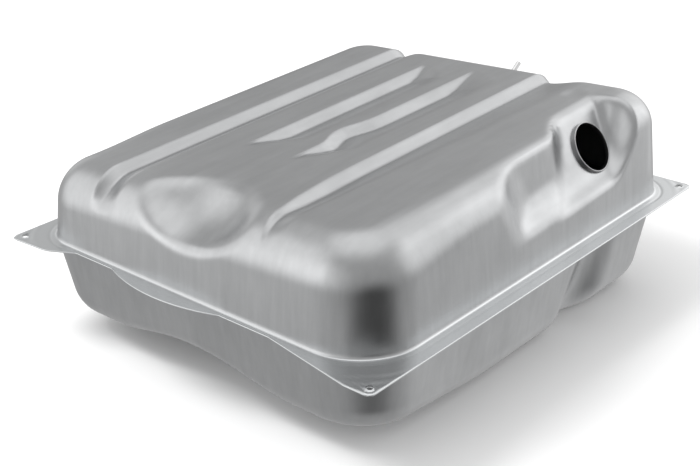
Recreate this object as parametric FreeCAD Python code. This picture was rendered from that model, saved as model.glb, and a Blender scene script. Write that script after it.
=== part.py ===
import FreeCAD, Part
import math
import os

# Car fuel tank: two deep pressings seam-welded at a flange, with a filler collar in a
# pocket of the upper one. X runs from the scalloped front edge to the rear, Y from the
# filler side to the plain side, Z up. The origin is under the middle, on the ground.

# Sheet and seam
sheet = 1.0
fit_gap = 0.3
flange_length = 780.0
flange_width = 670.0
flange_foot_radius = 4.0
tab_tip_radius = 9.0

# Body outline at the flange, as distances in from the flange's straight edges
front_margin = 34.0
rear_margin = 23.0
filler_side_margin = 28.0
plain_side_margin = 22.0
near_corner_radius = 92.0
other_corner_radius = 62.0

# Upper pressing
wall_draft = 4.5
roof_height = 144.6
roof_rise_to_rear = 0.026
roof_fall_to_plain_side = 0.055
shoulder_radius = 52.0

# Lower pressing
lower_depth = 152.0
lower_draft = 8.0
bilge_radius = 52.0
keel_start = 300.0
keel_slope = 0.12
keel_bend_radius = 208.0

# Scallops along the front edge: tabs from their own corners, the lobe from the middle line
front_strip = 8.0
near_tab_length = 185.0
near_tab_neck = 40.0
lobe_offset = 41.0
lobe_half_width = 104.0
lobe_bulge = 20.0
far_tab_length = 115.0
far_tab_neck = 72.0
far_tab_lean = 4.0

# Holes in the four corner tabs
tab_hole_radius = 4.0
tab_hole_inset_x = 15.0
tab_hole_inset_y = 13.0

# Pressed channels of the roof, measured across from the middle line
channel_depth = 11.0
channel_wall_run = 13.0
outer_channel_edges = (157.0, 200.0)
inner_channel_edges = (-169.0, -91.0)
inner_channel_front_edge = -129.0
channel_front_end = 70.0

# Round scoop in the front shoulder
scoop_radius = 150.0
scoop_depth = 34.0
scoop_offset = 17.0
scoop_lean = 57.0

# Shallow oval dents of the roof
dent_radius = 17.0
dent_depth = 1.4
dent_places = [(513.0, 192.0), (637.0, 188.0), (650.0, 150.0)]

# Filler pocket and collar
pocket_blend = 14.0
collar_lean = 33.0
collar_place = (593.0, 70.0, 107.0)
collar_radius = 37.5
collar_wall = 1.6
collar_stand = 8.0
collar_lip = 1.2
collar_foot_width = 5.0

# Relief and notch of the lower pressing
relief_radius = 330.0
relief_depth = 26.0
relief_offset = 17.0
relief_run = 330.0
notch_radius = 46.0
notch_depth = 20.0
notch_top = 8.0
notch_place = 566.0
notch_lean = 14.0
strap_groove_width = 44.0
strap_groove_depth = 3.0
strap_groove_start = 150.0
strap_groove_offsets = [-130.0, 145.0]

# Sender opening in the rear wall of the lower pressing
sender_hole_radius = 27.0
sender_ring_radius = 42.0
sender_ring_height = 6.0
sender_ring_sheet = 2.0
sender_drop = 56.0
sender_offset = 0.0
sender_lug_count = 3
sender_lug_width = 16.0
sender_lug_reach = 5.0

# Vent pipe through the rear shoulder
vent_radius = 4.0
vent_stem_radius = 3.5
vent_wall = 0.9
vent_offset = -24.0
vent_lean = 36.0
vent_stand = 26.0
vent_inner_run = 30.0
vent_boss_radius = 9.0
vent_boss_height = 5.0

# Baffles
baffle_sheet = 1.0
baffle_places = {"front_baffle": 205.0, "middle_baffle": 360.0, "rear_baffle": 515.0}
baffle_hole_radius = 30.0
baffle_hole_offsets = [-160.0, 0.0, 160.0]
baffle_hole_levels = [-75.0, 20.0]
baffle_side_gap = 60.0
baffle_roof_gap = 26.0
baffle_foot_width = 18.0

# Length that reaches past the whole tank, for cutting blocks, and how near counts as touching
reach = 2000.0
touching_gap = 0.01

# Outlines of the two closed roof channels, at the roof and at the channel floor: from the front
# edge of the flange, and across from the middle line
middle_mouth = [(250.0, 86.0), (305.0, 32.0), (630.0, 32.0), (682.0, 79.0), (636.0, 91.0), (305.0, 89.0)]
middle_floor = [(283.0, 76.0), (315.0, 44.0), (621.0, 44.0), (649.0, 72.0), (626.0, 78.0), (315.0, 76.0)]
stepped_mouth = [(246.0, -1.0), (296.0, -58.0), (662.0, -58.0), (694.0, -8.0), (662.0, 7.0),
                 (392.0, 7.0), (372.0, 20.0), (342.0, 20.0), (326.0, 5.0), (296.0, 5.0)]
stepped_floor = [(279.0, -10.0), (305.0, -46.0), (652.0, -46.0), (672.0, -16.0), (652.0, -6.0),
                 (388.0, -6.0), (368.0, 3.0), (346.0, 3.0), (330.0, -8.0), (305.0, -8.0)]

# Planes of the filler pocket: a point from the near corner, and the way each one faces
long_ledge = ((365.0, 36.0, 53.0), (-0.03, -0.839, 0.545))
long_back = ((440.0, 66.0, 147.0), (0.02, -0.99, 0.12))
long_end = ((310.0, 40.0, 103.0), (0.366, -0.846, 0.386))
pad_ledge = ((600.0, 36.0, 64.0), (-0.05, 0.0, 1.0))
pad_side = ((501.0, 86.0, 149.0), (0.50, -0.82, 0.25))
pad_end = ((646.0, 72.0, 150.0), (-0.90, -0.15, 0.35))
pocket_mouth = ((250.0, 720.0), (-60.0, 150.0), (20.0, 240.0))

seam = lower_depth
middle_line = flange_width / 2
front_foot = front_margin
rear_foot = flange_length - rear_margin
filler_side_foot = filler_side_margin
plain_side_foot = flange_width - plain_side_margin
collar_tilt = math.radians(collar_lean)
collar_axis = FreeCAD.Vector(0.0, -math.cos(collar_tilt), math.sin(collar_tilt))


def at(along, across, up=0.0):
    """Point measured from the near corner of the flange and up from the seam."""
    return FreeCAD.Vector(along - flange_length / 2, across - flange_width / 2, up + seam)


def unit(vector):
    """The vector at length one."""
    direction = FreeCAD.Vector(*vector)
    return direction.normalize()


def block_between(low, high):
    """Box between two opposite corners."""
    size = high - low
    return Part.makeBox(size.x, size.y, size.z, low)


def solid_of(outline, depth):
    """Prism from a closed outline of lines and arcs, along a depth vector."""
    edges = [item.toShape() for item in outline]
    return Part.Face(Part.Wire(edges)).extrude(depth)


def polygon(points):
    """Line segments round a closed list of points."""
    lines = []
    for start, end in zip(points, points[1:] + points[:1]):
        lines.append(Part.LineSegment(start, end))
    return lines


def beyond(point, facing):
    """Large block on the side of a plane that it faces away from."""
    block = Part.makeBox(2 * reach, 2 * reach, reach, FreeCAD.Vector(-reach, -reach, 0.0))
    turn = FreeCAD.Rotation(FreeCAD.Vector(0.0, 0.0, 1.0), unit(facing).negative())
    block.Placement = FreeCAD.Placement(point, turn)
    return block


def roof_at(along, across):
    """Height of the outer roof plane above the seam."""
    return sheet + roof_height + roof_rise_to_rear * along - roof_fall_to_plain_side * across


def roof_point(along, across):
    """Point of the outer roof plane."""
    return at(along, across, roof_at(along, across))


roof_facing = unit((-roof_rise_to_rear, roof_fall_to_plain_side, 1.0))


def drafted_block(way, start, end, draft, shrink):
    """Four walls that lean in by the draft, with every wall moved in by the shrink."""
    low, high = sorted((way * start, way * end))
    block = block_between(at(0.0, 0.0, low), at(flange_length, flange_width, high))
    lean = math.radians(draft)
    near = at(front_foot, filler_side_foot)
    far = at(rear_foot, plain_side_foot)
    for foot, out_x, out_y in ((near, -1.0, 0.0), (far, 1.0, 0.0), (near, 0.0, -1.0), (far, 0.0, 1.0)):
        facing = FreeCAD.Vector(out_x * math.cos(lean), out_y * math.cos(lean), way * math.sin(lean))
        block = block.cut(beyond(foot - facing * shrink, facing.negative()))
    upright = [edge for edge in block.Edges if abs(edge.Vertexes[0].Z - edge.Vertexes[1].Z) > sheet]
    upright.sort(key=lambda edge: (edge.CenterOfMass - at(0.0, 0.0)).Length)
    block = block.makeFillet(near_corner_radius - shrink, upright[:1])
    others = [edge for edge in block.Edges if any(same_middle(edge, corner) for corner in upright[1:])]
    return block.makeFillet(other_corner_radius - shrink, others)


def same_middle(edge, other):
    """Whether two edges have one middle."""
    return (edge.CenterOfMass - other.CenterOfMass).Length < touching_gap


def upper_form(shrink):
    """Plain upper body, with every face moved in by the shrink."""
    block = drafted_block(1, -channel_depth, roof_height + 2 * shoulder_radius, wall_draft, shrink)
    level = roof_point(0.0, 0.0) - roof_facing * shrink
    block = block.cut(beyond(level, roof_facing.negative()))
    rim = [edge for edge in block.Edges if on_plane(edge, level, roof_facing)]
    return block.makeFillet(shoulder_radius - shrink, rim)


def on_plane(edge, point, facing):
    """Whether both ends and the middle of an edge lie in a plane."""
    middle = edge.valueAt((edge.FirstParameter + edge.LastParameter) / 2)
    places = [vertex.Point for vertex in edge.Vertexes] + [middle]
    return all(abs((place - point).dot(facing)) < touching_gap for place in places)


def keel_profile(shrink):
    """Space under the floor: level at the rear, rising to the front through one arc."""
    slope = math.atan(keel_slope)
    level = shrink - seam
    start = keel_start - shrink * math.tan(slope / 2)
    tangent = keel_bend_radius * math.tan(slope / 2)
    flat_end = at(start + tangent, -reach, level)
    ramp_end = at(start - tangent * math.cos(slope), -reach, level + tangent * math.sin(slope))
    half = slope / 2
    arc_x = start + tangent - keel_bend_radius * math.sin(half)
    arc_middle = at(arc_x, -reach, level + keel_bend_radius * (1 - math.cos(half)))
    front = at(-reach, -reach, level + (start + reach) * keel_slope)
    rear = at(reach, -reach, level)
    sunk = FreeCAD.Vector(0.0, 0.0, -reach)
    lines = [
        Part.LineSegment(rear, flat_end),
        Part.Arc(flat_end, arc_middle, ramp_end),
        Part.LineSegment(ramp_end, front),
        Part.LineSegment(front, front + sunk),
        Part.LineSegment(front + sunk, rear + sunk),
        Part.LineSegment(rear + sunk, rear),
    ]
    return solid_of(lines, FreeCAD.Vector(0.0, 2 * reach, 0.0))


def lower_form(shrink):
    """Plain lower body, with every face moved in by the shrink."""
    block = drafted_block(-1, -channel_depth, lower_depth + channel_depth, lower_draft, shrink)
    under = keel_profile(shrink)
    block = block.cut(under)
    rim = [edge for edge in block.Edges if is_bilge(edge, under)]
    return block.makeFillet(bilge_radius - shrink, rim)


def is_bilge(edge, under):
    """Whether an edge runs round the floor, and not across it."""
    middle = edge.valueAt((edge.FirstParameter + edge.LastParameter) / 2)
    if under.distToShape(Part.Vertex(middle))[0] > touching_gap:
        return False
    across = middle.y + flange_width / 2
    along = middle.x + flange_length / 2
    rim = near_corner_radius
    clear_across = filler_side_foot + rim < across < plain_side_foot - rim
    clear_along = front_foot + rim < along < rear_foot - rim
    return not (clear_across and clear_along)


def channel_wall(start, end, run):
    """Plane down one side of a roof channel: its run across is positive towards the plain side."""
    down = FreeCAD.Vector(0.0, run, -channel_depth)
    facing = (end - start).cross(down)
    if facing.z < 0:
        facing = facing.negative()
    return start, facing


def open_channel(edges, front_low_edge, grow):
    """Channel that runs over the front shoulder and out over the rear one."""
    low_edge, high_edge = (middle_line + edge for edge in edges)
    front_edge = middle_line + front_low_edge
    walls = [
        channel_wall(roof_point(0.0, high_edge), roof_point(flange_length, high_edge), -channel_wall_run),
        channel_wall(roof_point(0.0, front_edge), roof_point(flange_length, low_edge), channel_wall_run),
    ]
    tool = block_between(at(-reach, low_edge - shoulder_radius, channel_front_end),
                         at(reach, high_edge + shoulder_radius, roof_height + reach))
    for point, facing in walls:
        tool = tool.cut(beyond(point - unit(facing) * grow, facing))
    return tool.cut(channel_stop(grow)).cut(upper_form(channel_depth + grow))


def channel_stop(grow):
    """What stays under the lower end of a channel on the front shoulder."""
    wall_x = front_foot + channel_front_end * math.tan(math.radians(wall_draft))
    rise = 2 * channel_depth
    outline = [
        at(-reach, -reach, channel_front_end - grow),
        at(wall_x, -reach, channel_front_end - grow),
        at(wall_x + rise, -reach, channel_front_end + rise - grow),
        at(wall_x + rise, -reach, -reach),
        at(-reach, -reach, -reach),
    ]
    return solid_of(polygon(outline), FreeCAD.Vector(0.0, 2 * reach, 0.0))


def closed_channel(mouth, floor, grow):
    """Channel with tapered ends: an outline at the roof and a smaller one at its floor."""
    wires = []
    middle_across = sum(point[1] for point in mouth) / len(mouth)
    middle_along = sum(point[0] for point in mouth) / len(mouth)
    for outline, lift in ((mouth, 0.0), (floor, -channel_depth - grow)):
        points = []
        for along, across in outline:
            out_x = math.copysign(grow, along - middle_along)
            out_y = math.copysign(grow, across - middle_across)
            points.append(roof_point(along + out_x, middle_line + across + out_y) + roof_facing * lift)
        wires.append(Part.makePolygon(points + points[:1]))
    return Part.makeLoft(wires, True, True)


def dent(place, grow):
    """Shallow oval dent, the cap of a large ball."""
    ball_radius = (dent_radius ** 2 + dent_depth ** 2) / (2 * dent_depth)
    middle = roof_point(*place) + roof_facing * (ball_radius - dent_depth)
    return Part.makeSphere(ball_radius + grow, middle)


def scoop(grow):
    """Round scoop pressed into the front shoulder."""
    lean = math.radians(scoop_lean)
    facing = FreeCAD.Vector(-math.cos(lean), 0.0, math.sin(lean))
    scoop_middle = middle_line + scoop_offset
    top = roof_at(front_foot, scoop_middle)
    lean_in = top * math.tan(math.radians(wall_draft))
    hub = at(front_foot + lean_in + shoulder_radius, scoop_middle, top - shoulder_radius)
    middle = hub + facing * (shoulder_radius + scoop_radius - scoop_depth)
    return Part.makeSphere(scoop_radius + grow, middle)


def pocket_part(planes, grow):
    """Convex part of the filler pocket, rounded where its planes meet."""
    lows, highs = zip(*pocket_mouth)
    tool = block_between(at(*lows), at(*highs))
    faces = []
    for point, facing in planes:
        moved = at(*point) - unit(facing) * grow
        tool = tool.cut(beyond(moved, facing))
        faces.append((moved, unit(facing)))
    corners = []
    for edge in tool.Edges:
        meeting = [face for face in faces if on_plane(edge, face[0], face[1])]
        if len(meeting) == 2:
            corners.append(edge)
    return tool.makeFillet(pocket_blend + grow, corners)


collar_lip_middle = at(*collar_place)
pad_point = collar_lip_middle - collar_axis * collar_stand


def pocket_tools(grow):
    """The long recess and the pad that carries the collar."""
    below_lip = collar_axis * collar_stand
    pad_place = (collar_place[0], collar_place[1] - below_lip.y, collar_place[2] - below_lip.z)
    pad_face = (pad_place, tuple(collar_axis))
    return [
        pocket_part([long_ledge, long_back, long_end, pad_end], grow),
        pocket_part([pad_ledge, pad_face, pad_side, pad_end], grow),
    ]


def upper_tools(grow):
    """Everything pressed into the upper body."""
    tools = [
        open_channel(outer_channel_edges, outer_channel_edges[0], grow),
        open_channel(inner_channel_edges, inner_channel_front_edge, grow),
        closed_channel(middle_mouth, middle_floor, grow),
        closed_channel(stepped_mouth, stepped_floor, grow),
        scoop(grow),
    ]
    for place in dent_places:
        tools.append(dent(place, grow))
    return tools + pocket_tools(grow)


def upper_space(shrink):
    """Upper body with its pressings, with every face moved in by the shrink."""
    space = upper_form(shrink)
    for tool in upper_tools(shrink):
        space = space.cut(tool)
    return space


def relief(grow):
    """Arched relief under the front edge of the floor, fading out to the rear."""
    front_level = (keel_start - front_foot) * keel_slope + relief_depth - seam
    start = at(front_foot, middle_line + relief_offset, front_level - relief_radius)
    end = at(relief_run, middle_line + relief_offset, -seam - relief_radius)
    along = end - start
    tail = start - along
    return Part.makeCylinder(relief_radius + grow, 3 * along.Length, tail, along)


def notch(grow):
    """Upright notch in the filler-side wall, deeper towards the floor."""
    lean = math.radians(notch_lean)
    top = at(notch_place, filler_side_foot + notch_depth - notch_radius, 0.0)
    down = FreeCAD.Vector(-math.sin(lean), math.sin(lean), -math.cos(lean))
    tool = Part.makeCylinder(notch_radius + grow, 2 * lower_depth, top, down)
    return tool.cut(beyond(at(0.0, 0.0, -notch_top + grow), FreeCAD.Vector(0.0, 0.0, -1.0)))


def strap_groove(offset, grow):
    """Shallow groove in the floor where a strap lies."""
    middle = middle_line + offset
    half = strap_groove_width / 2 + grow
    low = at(strap_groove_start, middle - half, -reach)
    tool = block_between(low, at(reach, middle + half, -bilge_radius))
    return tool.cut(lower_form(strap_groove_depth + grow))


def lower_space(shrink):
    """Lower body with its pressings, with every face moved in by the shrink."""
    space = lower_form(shrink)
    tools = [relief(shrink), notch(shrink)]
    for offset in strap_groove_offsets:
        tools.append(strap_groove(offset, shrink))
    for tool in tools:
        space = space.cut(tool)
    return space


def flange_outline(level):
    """Edge of the flange: straight on three sides, scalloped along the front."""
    strip = front_margin - front_strip
    lobe_middle = middle_line + lobe_offset
    far_tab_start = flange_width - far_tab_length
    far_tab_shoulder = flange_width - far_tab_neck
    lobe_near = at(strip, lobe_middle - lobe_half_width, level)
    lobe_far = at(strip, lobe_middle + lobe_half_width, level)
    return [
        Part.LineSegment(at(0.0, 0.0, level), at(flange_length, 0.0, level)),
        Part.LineSegment(at(flange_length, 0.0, level), at(flange_length, flange_width, level)),
        Part.LineSegment(at(flange_length, flange_width, level), at(0.0, flange_width, level)),
        Part.LineSegment(at(0.0, flange_width, level), at(far_tab_lean, far_tab_shoulder, level)),
        Part.LineSegment(at(far_tab_lean, far_tab_shoulder, level), at(strip, far_tab_start, level)),
        Part.LineSegment(at(strip, far_tab_start, level), lobe_far),
        Part.Arc(lobe_far, at(strip - lobe_bulge, lobe_middle, level), lobe_near),
        Part.LineSegment(lobe_near, at(strip, near_tab_length, level)),
        Part.LineSegment(at(strip, near_tab_length, level), at(0.0, near_tab_neck, level)),
        Part.LineSegment(at(0.0, near_tab_neck, level), at(0.0, 0.0, level)),
    ]


def flange_sheet(level):
    """Flange as a flat plate, one sheet thick, with blunt tabs and their holes."""
    plate = solid_of(flange_outline(level), FreeCAD.Vector(0.0, 0.0, sheet))
    corners = [at(0.0, 0.0), at(flange_length, 0.0), at(flange_length, flange_width), at(0.0, flange_width)]
    tips = [edge for edge in plate.Edges if any(stands_on(edge, corner) for corner in corners)]
    plate = plate.makeFillet(tab_tip_radius, tips)
    for along in (tab_hole_inset_x, flange_length - tab_hole_inset_x):
        for across in (tab_hole_inset_y, flange_width - tab_hole_inset_y):
            plate = plate.cut(Part.makeCylinder(tab_hole_radius, 3 * sheet, at(along, across, level - sheet)))
    return plate


def stands_on(edge, corner):
    """Whether an upright edge stands on a corner of the plan."""
    ends = [vertex.Point for vertex in edge.Vertexes]
    return all(math.hypot(end.x - corner.x, end.y - corner.y) < touching_gap for end in ends)


def foot_edges(shape, level):
    """Edges where a body meets a flat sheet at this height."""
    near = at(front_foot, filler_side_foot)
    far = at(rear_foot, plain_side_foot)
    found = []
    for edge in shape.Edges:
        if not on_plane(edge, at(0.0, 0.0, level), FreeCAD.Vector(0.0, 0.0, 1.0)):
            continue
        box = edge.BoundBox
        inside = box.XMin > near.x - sheet and box.XMax < far.x + sheet
        if inside and box.YMin > near.y - sheet and box.YMax < far.y + sheet:
            found.append(edge)
    return found


def pressing(way, outside, inside):
    """Half of the tank: a body and its flange, one sheet thick, with a rounded foot."""
    base = min(0.0, way * sheet)
    plate = flange_sheet(base)
    side = block_between(at(-reach, -reach, min(0.0, way * reach)), at(reach, reach, max(0.0, way * reach)))
    outer = plate.fuse(outside.common(side)).removeSplitter()
    outer = outer.makeFillet(flange_foot_radius, foot_edges(outer, way * sheet))
    slab = block_between(at(-sheet, -sheet, min(0.0, -way * channel_depth)),
                         at(flange_length + sheet, flange_width + sheet, max(0.0, -way * channel_depth)))
    inner = slab.fuse(inside)
    inner = inner.makeFillet(flange_foot_radius + sheet, foot_edges(inner, 0.0))
    return outer.cut(inner)


def turned(profile, place, axis):
    """Ring or tube: a closed profile of (radius, height) turned about an axis."""
    points = [FreeCAD.Vector(radius, 0.0, height) for radius, height in profile]
    face = Part.Face(Part.Wire(Part.makePolygon(points + points[:1]).Edges))
    solid = face.revolve(FreeCAD.Vector(0.0, 0.0, 0.0), FreeCAD.Vector(0.0, 0.0, 1.0), 360.0)
    solid.Placement = FreeCAD.Placement(place, FreeCAD.Rotation(FreeCAD.Vector(0.0, 0.0, 1.0), axis))
    return solid


def make_collar():
    """Filler collar: a short tube with a foot ring brazed behind the pad and a beaded lip."""
    inner = collar_radius - collar_wall
    foot = collar_radius + collar_foot_width
    lip = collar_radius + collar_lip
    bead = 2 * collar_wall
    profile = [
        (inner, -sheet - collar_wall),
        (foot, -sheet - collar_wall),
        (foot, -sheet),
        (collar_radius, -sheet),
        (collar_radius, collar_stand - bead),
        (lip, collar_stand - bead / 2),
        (lip, collar_stand),
        (inner, collar_stand),
    ]
    return turned(profile, pad_point, collar_axis)


def rear_wall_facing():
    """Outward direction of the lower body's rear wall."""
    lean = math.radians(lower_draft)
    return FreeCAD.Vector(math.cos(lean), 0.0, -math.sin(lean))


def sender_point():
    """Middle of the sender opening on the outside of the rear wall."""
    lean_in = sender_drop * math.tan(math.radians(lower_draft))
    return at(rear_foot - lean_in, middle_line + sender_offset, -sender_drop)


def make_sender_ring():
    """Base ring for the fuel sender, with locking lugs bent over its rim."""
    inner = sender_hole_radius + fit_gap
    rim = sender_ring_radius - sender_ring_sheet
    lug_level = sender_ring_height - sender_ring_sheet
    profile = [
        (inner, 0.0),
        (sender_ring_radius, 0.0),
        (sender_ring_radius, sender_ring_height),
        (rim, sender_ring_height),
        (rim, sender_ring_sheet),
        (inner, sender_ring_sheet),
    ]
    facing = rear_wall_facing()
    ring = turned(profile, sender_point(), facing)
    turn = FreeCAD.Rotation(FreeCAD.Vector(0.0, 0.0, 1.0), facing)
    for index in range(sender_lug_count):
        lug = Part.makeBox(
            sender_lug_reach + sender_ring_sheet, sender_lug_width, sender_ring_sheet,
            FreeCAD.Vector(rim - sender_lug_reach, -sender_lug_width / 2, lug_level),
        )
        spin = FreeCAD.Rotation(FreeCAD.Vector(0.0, 0.0, 1.0), index * 360.0 / sender_lug_count)
        lug.Placement = FreeCAD.Placement(sender_point(), turn.multiply(spin))
        ring = ring.fuse(lug)
    return ring.removeSplitter()


def vent_axis():
    """Direction in which the vent pipe leaves the rear shoulder."""
    lean = math.radians(vent_lean)
    return FreeCAD.Vector(math.cos(lean), 0.0, math.sin(lean))


def vent_point():
    """Middle of the vent pipe's hole on the outside of the rear shoulder."""
    across = middle_line + vent_offset
    rise = roof_at(rear_foot, across)
    lean_in = rise * math.tan(math.radians(wall_draft))
    hub = at(rear_foot - lean_in - shoulder_radius, across, rise - shoulder_radius)
    return hub + vent_axis() * shoulder_radius


def make_vent_pipe():
    """Vent pipe through the rear shoulder, expanded outside it for the hose."""
    inner = vent_stem_radius - vent_wall
    step = vent_boss_height + fit_gap
    profile = [
        (inner, -vent_inner_run),
        (vent_stem_radius, -vent_inner_run),
        (vent_stem_radius, step),
        (vent_radius, step + vent_wall),
        (vent_radius, vent_stand),
        (inner, vent_stand),
    ]
    return turned(profile, vent_point(), vent_axis())


def make_vent_boss(outside):
    """Brazed ferrule round the vent pipe, shaped to the shoulder that it sits on."""
    low = -vent_boss_radius
    profile = [
        (vent_stem_radius + fit_gap, low),
        (vent_boss_radius, low),
        (vent_boss_radius, vent_boss_height / 2),
        (vent_radius + 2 * vent_wall, vent_boss_height),
        (vent_stem_radius + fit_gap, vent_boss_height),
    ]
    return turned(profile, vent_point(), vent_axis()).cut(outside)


def make_baffle(along, lower_room, lower_foot_room, upper_room):
    """Perforated baffle with a bent foot that follows the floor."""
    def slice_of(room, thickness, low, high, margin):
        near = at(along, filler_side_foot + margin, low)
        far = at(along + thickness, plain_side_foot - margin, high)
        return room.common(block_between(near, far))

    plate = slice_of(lower_room, baffle_sheet, -lower_depth, 0.0, 0.0)
    head = slice_of(upper_room, baffle_sheet, 0.0, roof_height - baffle_roof_gap, baffle_side_gap)
    foot = slice_of(lower_room, baffle_foot_width, -lower_depth, bilge_radius - lower_depth, 0.0)
    foot = foot.cut(lower_foot_room)
    baffle = plate.fuse(head).fuse(foot).removeSplitter()
    forward = FreeCAD.Vector(1.0, 0.0, 0.0)
    for offset in baffle_hole_offsets:
        for level in baffle_hole_levels:
            start = at(along - baffle_sheet, middle_line + offset, level)
            baffle = baffle.cut(Part.makeCylinder(baffle_hole_radius, 3 * baffle_sheet, start, forward))
    return baffle


def round_hole(place, axis, radius):
    """Cutter for a round hole through the sheet at a place."""
    return Part.makeCylinder(radius + fit_gap, 4 * radius, place - axis * 2 * radius, axis)


upper_outside = upper_space(0.0)
upper_shell = pressing(1, upper_outside, upper_space(sheet))
upper_shell = upper_shell.cut(round_hole(pad_point, collar_axis, collar_radius))
upper_shell = upper_shell.cut(round_hole(vent_point(), vent_axis(), vent_stem_radius))

lower_shell = pressing(-1, lower_space(0.0), lower_space(sheet))
lower_shell = lower_shell.cut(round_hole(sender_point(), rear_wall_facing(), sender_hole_radius))

parts = {
    "upper_shell": upper_shell,
    "lower_shell": lower_shell,
    "filler_collar": make_collar(),
    "sender_ring": make_sender_ring(),
    "vent_pipe": make_vent_pipe(),
    "vent_boss": make_vent_boss(upper_outside),
}

lower_room = lower_space(sheet + fit_gap)
lower_foot_room = lower_space(sheet + fit_gap + baffle_sheet)
upper_room = upper_space(sheet + fit_gap)
for name, along in baffle_places.items():
    parts[name] = make_baffle(along, lower_room, lower_foot_room, upper_room)

os.makedirs("parts", exist_ok=True)
for name, shape in parts.items():
    shape.exportStep(os.path.join("parts", name + ".step"))
    print(name, "solids", len(shape.Solids), "valid", shape.isValid(), "volume", round(shape.Volume))
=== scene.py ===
# %% [markdown]
# # A pressed steel car fuel tank
#
# The tank is two deep pressings of coated steel sheet, joined face to face at a flange that runs round the
# middle. The CAD frame gives the pieces. This lesson rebuilds what is seen of them for looks: soft press
# radii, the weld track on the flange, ripples in the tabs, and a satin coat that shows the studio.

# %%
import math

import bpy
import numpy as np
from mathutils import Matrix, Vector
from mathutils.geometry import delaunay_2d_cdt


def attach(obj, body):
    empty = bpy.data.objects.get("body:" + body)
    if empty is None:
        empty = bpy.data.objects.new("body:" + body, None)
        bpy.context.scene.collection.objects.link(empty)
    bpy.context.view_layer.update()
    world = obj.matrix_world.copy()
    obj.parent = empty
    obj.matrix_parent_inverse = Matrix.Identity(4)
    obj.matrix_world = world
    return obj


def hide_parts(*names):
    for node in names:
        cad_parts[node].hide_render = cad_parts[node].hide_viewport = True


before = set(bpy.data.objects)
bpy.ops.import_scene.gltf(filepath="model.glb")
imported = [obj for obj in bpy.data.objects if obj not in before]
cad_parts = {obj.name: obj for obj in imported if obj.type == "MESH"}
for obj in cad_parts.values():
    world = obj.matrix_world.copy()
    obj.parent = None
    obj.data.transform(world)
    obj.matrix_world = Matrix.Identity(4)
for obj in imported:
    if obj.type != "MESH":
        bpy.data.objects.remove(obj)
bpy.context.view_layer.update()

# %% [markdown]
# ## The measures of the tank
#
# These are the driving sizes of the real pressings, in millimetres from the near corner of the flange:
# along it, across it, and up from the seam. The CAD is built from the same ones, so a surface that is made
# from them again falls where the CAD's does, apart from softer edges and from the channels, the notch and the
# filler pocket, which follow the photograph more closely.

# %%
FLANGE = (780.0, 670.0)
SEAM = 152.0
SHEET = 1.0
FEET = (34.0, 757.0, 28.0, 648.0)
NEAR_CORNER, OTHER_CORNER = 92.0, 62.0
FOOT_RADIUS = 4.0
UPPER = {"draft": 4.5, "radius": 52.0, "core": (126.0, 690.0, 120.0, 582.0), "way": 1.0, "tilt": 55.0}
LOWER = {"draft": 8.0, "radius": 52.0, "core": (126.0, 678.0, 120.0, 570.0), "way": -1.0, "tilt": 50.0}
ROOF, ROOF_TO_REAR, ROOF_TO_SIDE = 145.6, 0.026, -0.055
KEEL_START, KEEL_SLOPE = 300.0, 0.12
COLLAR_LEAN = math.radians(33.0)
COLLAR_AXIS = np.array([0.0, -math.cos(COLLAR_LEAN), math.sin(COLLAR_LEAN)])
COLLAR_LIP = np.array([593.0, 70.0, 107.0])
COLLAR_RADIUS, COLLAR_STAND = 37.5, 8.0
PAD_POINT = COLLAR_LIP - COLLAR_AXIS * COLLAR_STAND


def to_frame(points):
    """Millimetres from the flange's corner, turned to metres in the row frame."""
    shift = np.array([FLANGE[0] / 2, FLANGE[1] / 2, -SEAM])
    return (np.asarray(points, float) - shift) / 1000.0


# %% [markdown]
# ## Small tools
#
# A piece made here is a plain mesh at the origin, in the row frame, that rides on the tank's one body.
# Smooth faces suit pressed sheet, because its creases are all rounded by the press.

# %%
def mesh_piece(name, points, faces, material, slot, *nodes):
    """A piece of the tank from points in metres."""
    mesh = bpy.data.meshes.new(name)
    mesh.from_pydata([tuple(point) for point in points], [], faces)
    mesh.update()
    mesh.polygons.foreach_set("use_smooth", [True] * len(mesh.polygons))
    mesh.materials.append(material)
    piece = bpy.data.objects.new(name, mesh)
    bpy.context.scene.collection.objects.link(piece)
    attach(piece, "root")
    if nodes:
        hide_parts(*nodes)
    print(name, "has", len(points), "points and", len(faces), "faces")
    return piece


def linear(code):
    """An sRGB colour such as 9A9B9C as linear values."""
    values = [int(code[index:index + 2], 16) / 255 for index in (0, 2, 4)]
    return [v / 12.92 if v <= 0.04045 else ((v + 0.055) / 1.055) ** 2.4 for v in values] + [1.0]


def add_node(tree, kind, settings=None, **inputs):
    """A shader node with its settings, and its inputs set to values or linked to sockets.

    An input goes by its name, with an underscore for each space, or by its number, as in i0. A mix node has
    inputs of the same name for each kind of data, so there the one that is switched on is taken.
    """
    node = tree.nodes.new(kind)
    for name, value in (settings or {}).items():
        setattr(node, name, value)
    for name, value in inputs.items():
        if kind == "ShaderNodeMix":
            socket = next(item for item in node.inputs if item.enabled and item.name == name)
        elif name[0] == "i" and name[1:].isdigit():
            socket = node.inputs[int(name[1:])]
        else:
            socket = node.inputs[name.replace("_", " ")]
        if isinstance(value, bpy.types.NodeSocket):
            tree.links.new(value, socket)
        else:
            socket.default_value = value
    return node


def result(node):
    """The output of a mix node that is switched on."""
    return next(item for item in node.outputs if item.enabled)


# %% [markdown]
# ## Bare coated steel
#
# The sheet has a thin tin-and-lead or zinc coat, rolled on before it is pressed. New, it is a satin metal:
# it shows the studio as broad soft patches, with a faint cloudiness where the coat is thicker, fine
# scratches from the rollers and slightly duller press marks. Real metal values carry the look, so the
# colour stays close to grey and the roughness does the work.

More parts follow.
